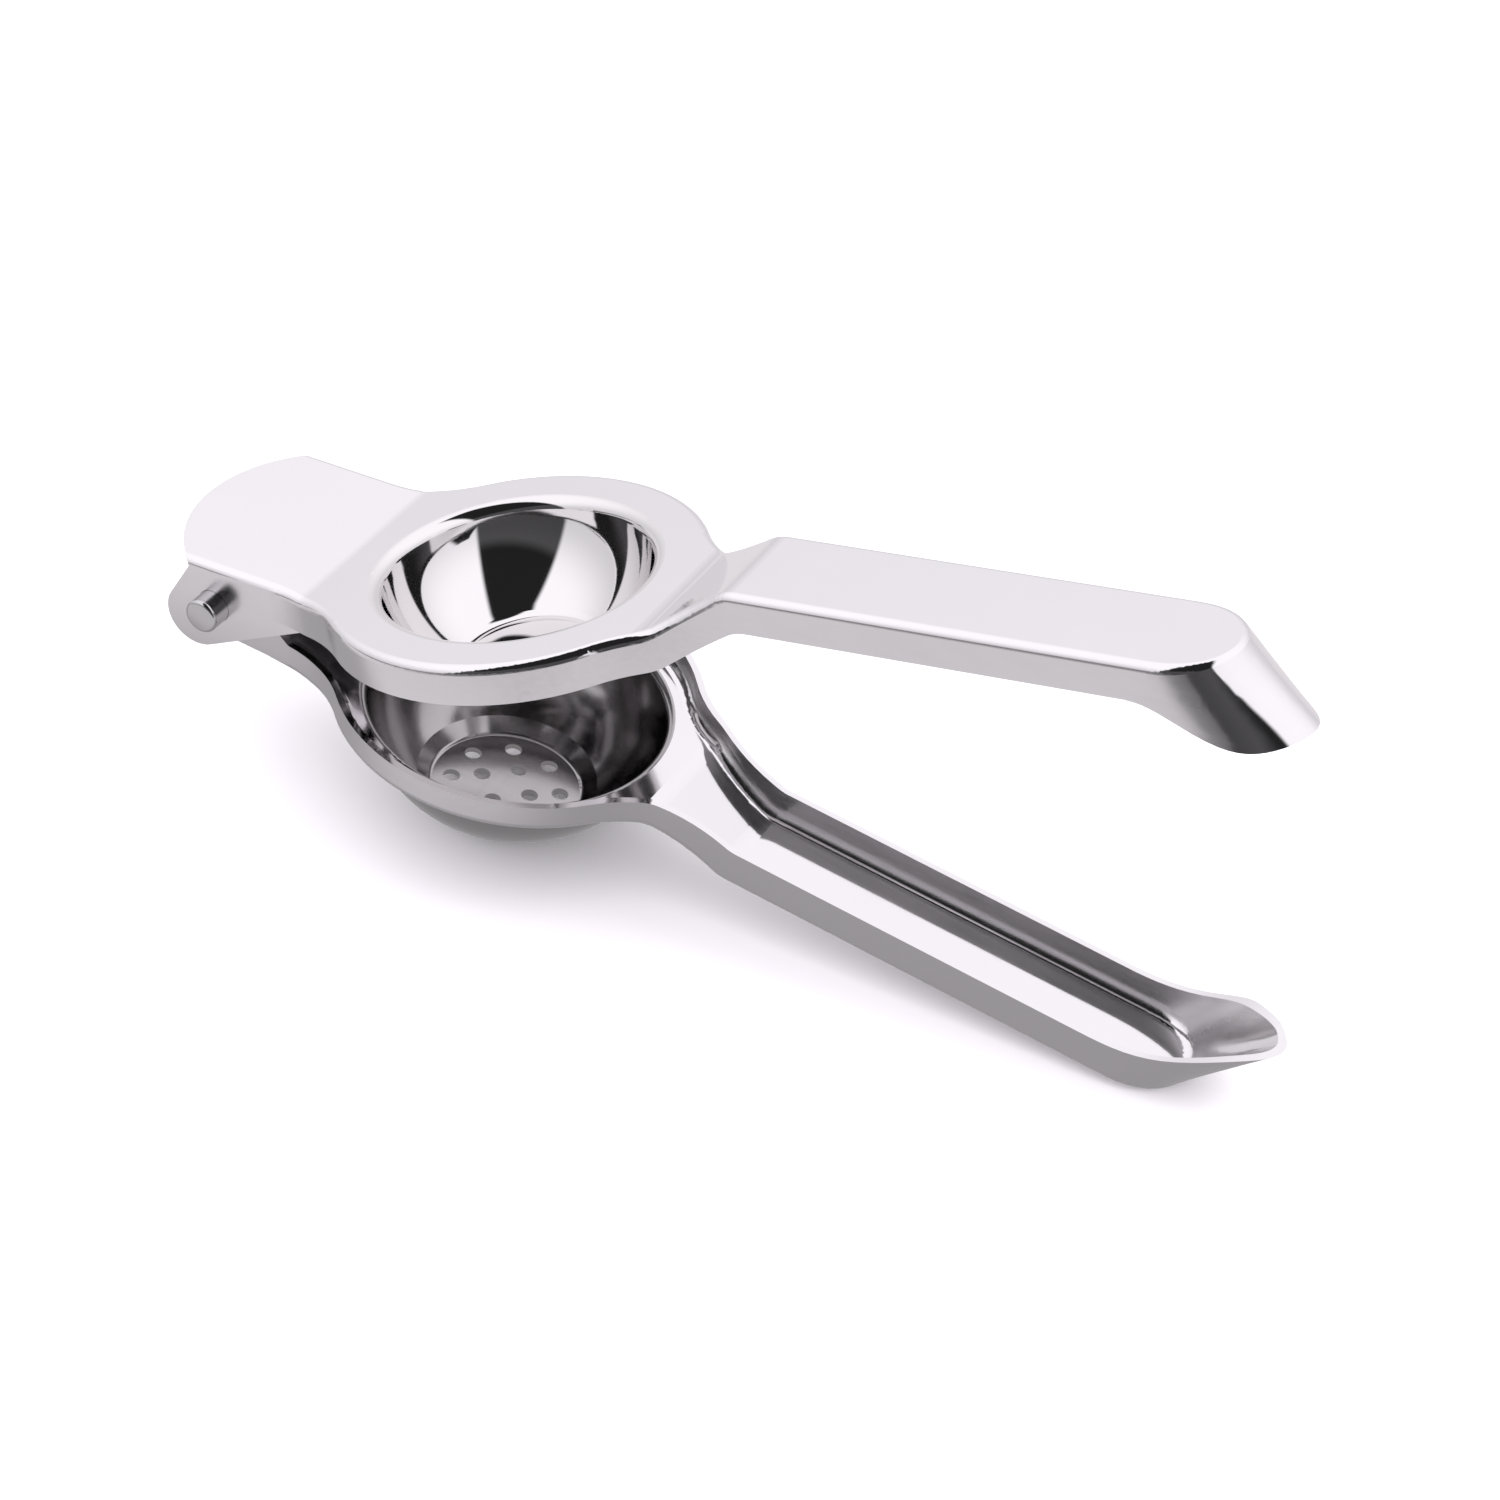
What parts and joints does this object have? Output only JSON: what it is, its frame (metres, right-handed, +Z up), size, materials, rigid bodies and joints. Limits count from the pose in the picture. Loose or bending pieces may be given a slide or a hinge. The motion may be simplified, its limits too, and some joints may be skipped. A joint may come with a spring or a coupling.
{
  "type": "hand citrus press",
  "caption": "Hand citrus press in polished stainless sheet: a press cup on an upper arm swings on a hinge pin into a perforated strainer cup on a lower arm.",
  "frame": {"origin": "on the surface that the press stands on, under the centre of its bounding box at rest", "axes": "+X from the hinge towards the handle ends, +Z up, +Y across the press along the hinge pin"},
  "size_m": [0.2214, 0.0706, 0.0916],
  "materials": {
    "arm_steel": "polished",
    "cup_steel": "mirror polished",
    "pin_steel": "satin"
  },
  "bodies": {
    "lower_half": {"lower_arm": "arm_steel", "strainer_cup": "cup_steel", "hinge_pin": "pin_steel"},
    "upper_half": {"upper_arm": "arm_steel", "press_cup": "cup_steel"}
  },
  "joints": [
    {"name": "arm_hinge", "type": "hinge", "parent": "lower_half", "child": "upper_half", "pos_m": [-0.09583, 0, 0.03458], "axis": [0, -1, 0], "range_deg": [-18.2, 77]}
  ]
}
